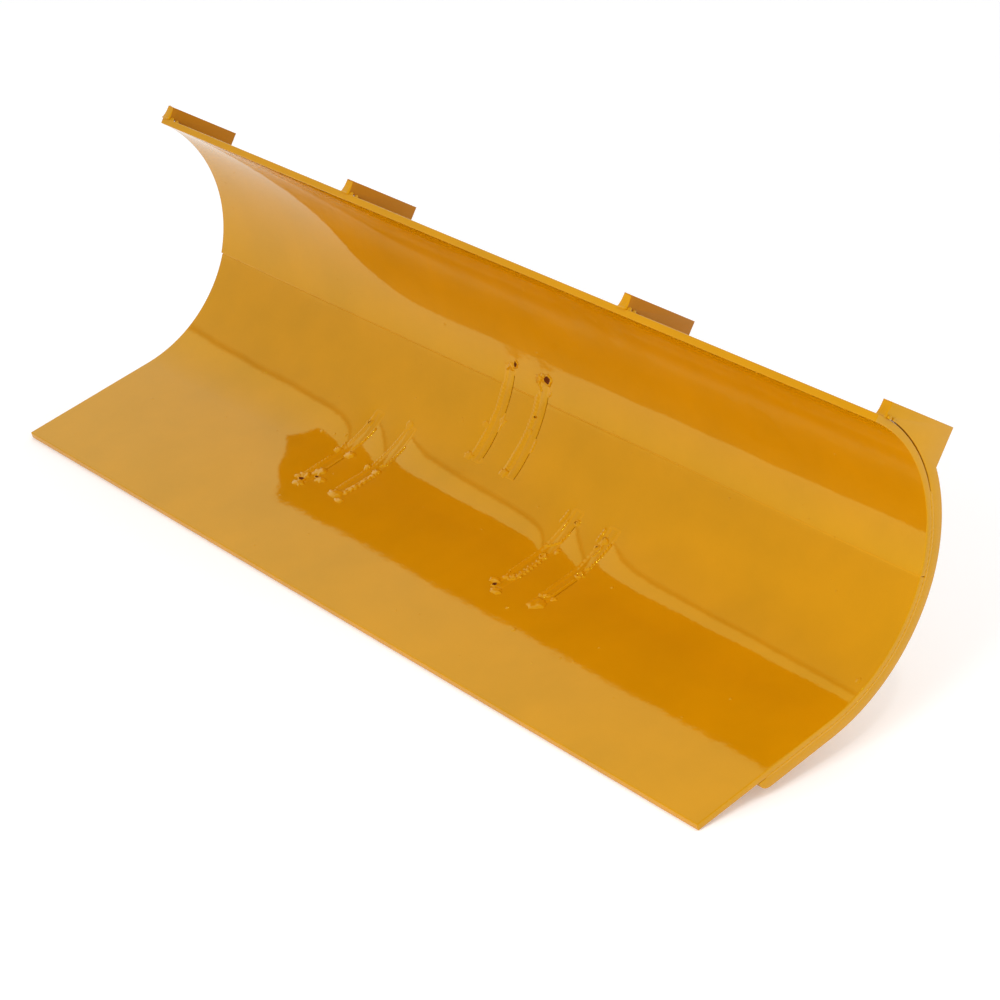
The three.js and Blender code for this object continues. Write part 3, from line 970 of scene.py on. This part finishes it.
def closed_joints(lug):
    """The joints round a lug's end that weld and paint have closed, in millimetres."""
    left, right = lug.x / MM - LEFT_JOINT, lug.x / MM + RIGHT_JOINT
    start, stop = lug.start / MM, lug.stop / MM
    joints = [
        [(left, start), (right, start)],
        [(left, stop), (right, stop)],
    ]
    position = start
    for open_start, open_stop in sorted(OPEN_CRACKS[lug.name]) + [(stop, stop)]:
        if open_start - position > 3:
            joints.append([(right, position), (right, open_start)])
        position = open_stop
    return joints


for number, lug in enumerate(LUGS):
    body = Body()
    for row, (points, width, height) in enumerate(SLOT_BEADS[lug.name]):
        ridge(body, points, width * MM, height * MM, seed=number + 0.31 * row)
    for row, (x, along, reach_x, reach_along, height) in enumerate(SLOT_LUMPS[lug.name]):
        blob(
            body, x * MM, along * MM, reach_x * MM, reach_along * MM, height * MM,
            seed=number + 0.17 * row,
        )
    for x_0, along_0, x_1, along_1, count, reach, height in LUMP_ROWS.get(lug.name, []):
        for row, t in enumerate(np.linspace(0, 1, count)):
            shift = 0.8 * noise.noise(Vector((t * 9, number, 0)))
            x, along = x_0 + t * (x_1 - x_0) + shift, along_0 + t * (along_1 - along_0)
            reach_here = reach * (1 + 0.25 * noise.noise(Vector((t * 13, number, 4))))
            blob(
                body, x * MM, along * MM, reach_here * MM, reach * MM, height * MM,
                seed=20 + number + 0.37 * row,
            )
    for row, (x, along, reach_x, reach_along) in enumerate(CRATERS.get(lug.name, [])):
        crater(body, x * MM, along * MM, reach_x * MM, reach_along * MM, number + row)
    for x, along, radius in RINGS.get(lug.name, []):
        turn = np.linspace(0, 2 * math.pi, 25)
        points = [(x + radius * math.cos(t), along + radius * math.sin(t)) for t in turn]
        ridge(body, points, 3.6 * MM, 1.7 * MM, seed=number, lift=0.4 * MM, taper=1 * MM)
    for points in closed_joints(lug):
        ridge(body, points, 5 * MM, 0.2 * MM, seed=number, ripple=0.03, taper=1.5 * MM)
    joint_x = lug.x / MM - LEFT_JOINT
    points = [(joint_x, lug.start / MM), (joint_x, lug.stop / MM)]
    ridge(body, points, 9 * MM, 0.28 * MM, seed=number, ripple=0.2, pitch=6 * MM, taper=2 * MM)
    middle = lug.x - (LUG_WIDTH / 2 + SLOT_LEFT) / 2
    path, out = along_path(middle, lug.start + LUG_FIT, lug.stop - LUG_FIT, 0.35 * MM)
    plug = np.array([[1.5, 0], [0, 0.1], [-1.5, 0], [-1.5, -7], [1.5, -7]])
    sweep(body, path, X_AXIS, -out, plug * MM, ripple=0.02, taper=0.6 * MM, seed=number)
    name = f"weld_slot_{lug.name}"
    finish_piece(body.build(name, [WELD_PAINT, CRATER_SHADE]), "weld_paint", name)

# ------------------------------------------------------------------ dust nibs under the gloss
# The larger nibs in millimetres: x, along, reach and height.
NIBS = [
    (590, 239, 3.2, 0.9), (-265, 212, 2.6, 0.5), (-150, 398, 1.6, 0.4), (15, 413, 1.8, 0.4),
    (335, 350, 1.6, 0.4), (495, 150, 1.8, 0.5), (322, 128, 1.6, 0.4), (188, 116, 2.2, 0.6),
    (222, 95, 3.0, 0.7), (300, 92, 1.8, 0.4), (317, 96, 1.8, 0.4), (430, 97, 1.5, 0.4),
    (-245, 216, 2.0, 0.4), (-230, 222, 2.2, 0.5), (260, 205, 1.8, 0.4),
]
FINE_NIBS = 70
random = np.random.default_rng(7)
body = Body()
for row, (x, along, reach, height) in enumerate(NIBS):
    blob(body, x * MM, along * MM, reach * MM, reach * MM, height * MM, seed=row)
for row in range(FINE_NIBS):
    x, along = random.uniform(-0.58, 0.58), random.uniform(0.02, 0.56)
    reach = random.uniform(0.7, 1.4) * MM
    blob(body, x, along, reach, reach, reach * 0.22, seed=50 + row)
finish_piece(body.build("paint_nibs", [SHELL_PAINT]), "shell_paint")

# ------------------------------------------------------------------ sealed ends of the outer ribs
for name, x, side in (("left_end", LEFT_END, -1), ("right_end", RIGHT_END, 1)):
    body = Body()
    along = np.arange(92 * MM, 452 * MM, 1.5 * MM)
    path = shell_point(np.full(len(along), x), along, PLATE + 0.15 * MM)
    sweep(
        body, path, outward(along), side * X_AXIS, dome(3.2 * MM, 0.35 * MM, 1.2 * MM),
        ripple=0.25, pitch=7 * MM, taper=8 * MM, seed=side,
    )
    finish_piece(body.build(f"weld_end_{name}", [WELD_PAINT]), "weld_paint")

# ------------------------------------------------------------------ stage, light and camera
FLOOR_SIZE = 40
FLOOR_GAP = 0.5 * MM
bpy.ops.mesh.primitive_plane_add(size=FLOOR_SIZE, location=(0, 0, cad_low.z - FLOOR_GAP))
floor = bpy.context.object
floor.name = "floor"
floor_material = bpy.data.materials.new("floor_white")
floor_material.use_nodes = True
floor_shader = floor_material.node_tree.nodes["Principled BSDF"]
floor_shader.inputs["Base Color"].default_value = (0.93, 0.93, 0.93, 1)
floor_shader.inputs["Roughness"].default_value = 0.9
floor_shader.inputs["Specular IOR Level"].default_value = 0.1
floor_shader.inputs["Emission Color"].default_value = (1, 1, 1, 1)
floor_shader.inputs["Emission Strength"].default_value = 0.2
floor.data.materials.append(floor_material)

BACKDROP_SIDE = Vector((-0.467, 0.843, -0.27))
# Light level from the room in front, through the dim edge of the backdrop, to the backdrop.
STUDIO_EDGE = [(0.01, 0.80), (0.30, 0.80), (0.44, 0.38), (0.50, 0.38), (0.60, 1.15), (0.99, 1.15)]
CEILING = 0.82
world = bpy.data.worlds.new("studio")
bpy.context.scene.world = world
world.use_nodes = True
nodes, links = world.node_tree.nodes, world.node_tree.links
background = nodes["Background"]
background.inputs["Color"].default_value = (1, 1, 1, 1)
direction = nodes.new("ShaderNodeTexCoord")
towards = nodes.new("ShaderNodeVectorMath")
towards.operation = "DOT_PRODUCT"
towards.inputs[1].default_value = BACKDROP_SIDE
across_edge = nodes.new("ShaderNodeMapRange")
across_edge.inputs["From Min"].default_value = -0.1
across_edge.inputs["From Max"].default_value = 0.1
strength = nodes.new("ShaderNodeValToRGB")
ramp = strength.color_ramp
ramp.elements[0].position, ramp.elements[1].position = 0.0, 1.0
for position, level in STUDIO_EDGE:
    element = ramp.elements.new(position)
    element.color = (level, level, level, 1)
ramp.elements.remove(ramp.elements[0])
ramp.elements.remove(ramp.elements[len(ramp.elements) - 1])
links.new(direction.outputs["Generated"], towards.inputs[0])
links.new(towards.outputs["Value"], across_edge.inputs["Value"])
links.new(across_edge.outputs["Result"], strength.inputs["Fac"])
# The ceiling is dimmer than the walls.
height = nodes.new("ShaderNodeSeparateXYZ")
ceiling = nodes.new("ShaderNodeMapRange")
ceiling.interpolation_type = "SMOOTHSTEP"
for socket, value in (("From Min", 0.45), ("From Max", 0.95), ("To Min", 1.0), ("To Max", CEILING)):
    ceiling.inputs[socket].default_value = value
product = nodes.new("ShaderNodeMath")
product.operation = "MULTIPLY"
links.new(direction.outputs["Generated"], height.inputs["Vector"])
links.new(height.outputs["Z"], ceiling.inputs["Value"])
links.new(strength.outputs["Color"], product.inputs[0])
links.new(ceiling.outputs["Result"], product.inputs[1])
links.new(product.outputs["Value"], background.inputs["Strength"])


def softbox(name, place, aim, size, watts):
    light = bpy.data.lights.new(name, "AREA")
    light.shape = "SQUARE"
    light.size = size
    light.energy = watts
    obj = bpy.data.objects.new(name, light)
    bpy.context.scene.collection.objects.link(obj)
    obj.location = place
    obj.rotation_euler = (Vector(aim) - Vector(place)).to_track_quat("-Z", "Y").to_euler()
    return obj


key = softbox("key", (1.0, -1.7, 1.2), (0.0, 0, 0.15), 0.7, 16)
key.visible_glossy = False  # a mirrored lamp would leave a hard patch on the gloss
softbox("flash", (1.27, -0.30, 1.66), (0.1, 0, 0.15), 0.12, 3.0)

VIEW_AZIMUTH = math.radians(49.95)
VIEW_ELEVATION = math.radians(25.33)
VIEW_FROM = Vector((2.21747, -1.79620, 1.42374))
look = Vector((
    -math.sin(VIEW_AZIMUTH) * math.cos(VIEW_ELEVATION),
    math.cos(VIEW_AZIMUTH) * math.cos(VIEW_ELEVATION),
    -math.sin(VIEW_ELEVATION),
))
camera_data = bpy.data.cameras.new("camera")
camera_data.sensor_width = 36
camera_data.lens = 100.746  # fitted together with the place and the angles
camera = bpy.data.objects.new("camera", camera_data)
bpy.context.scene.collection.objects.link(camera)
camera.location = VIEW_FROM
camera.rotation_euler = look.to_track_quat("-Z", "Y").to_euler()
bpy.context.scene.camera = camera
bpy.context.scene.view_settings.view_transform = "Standard"
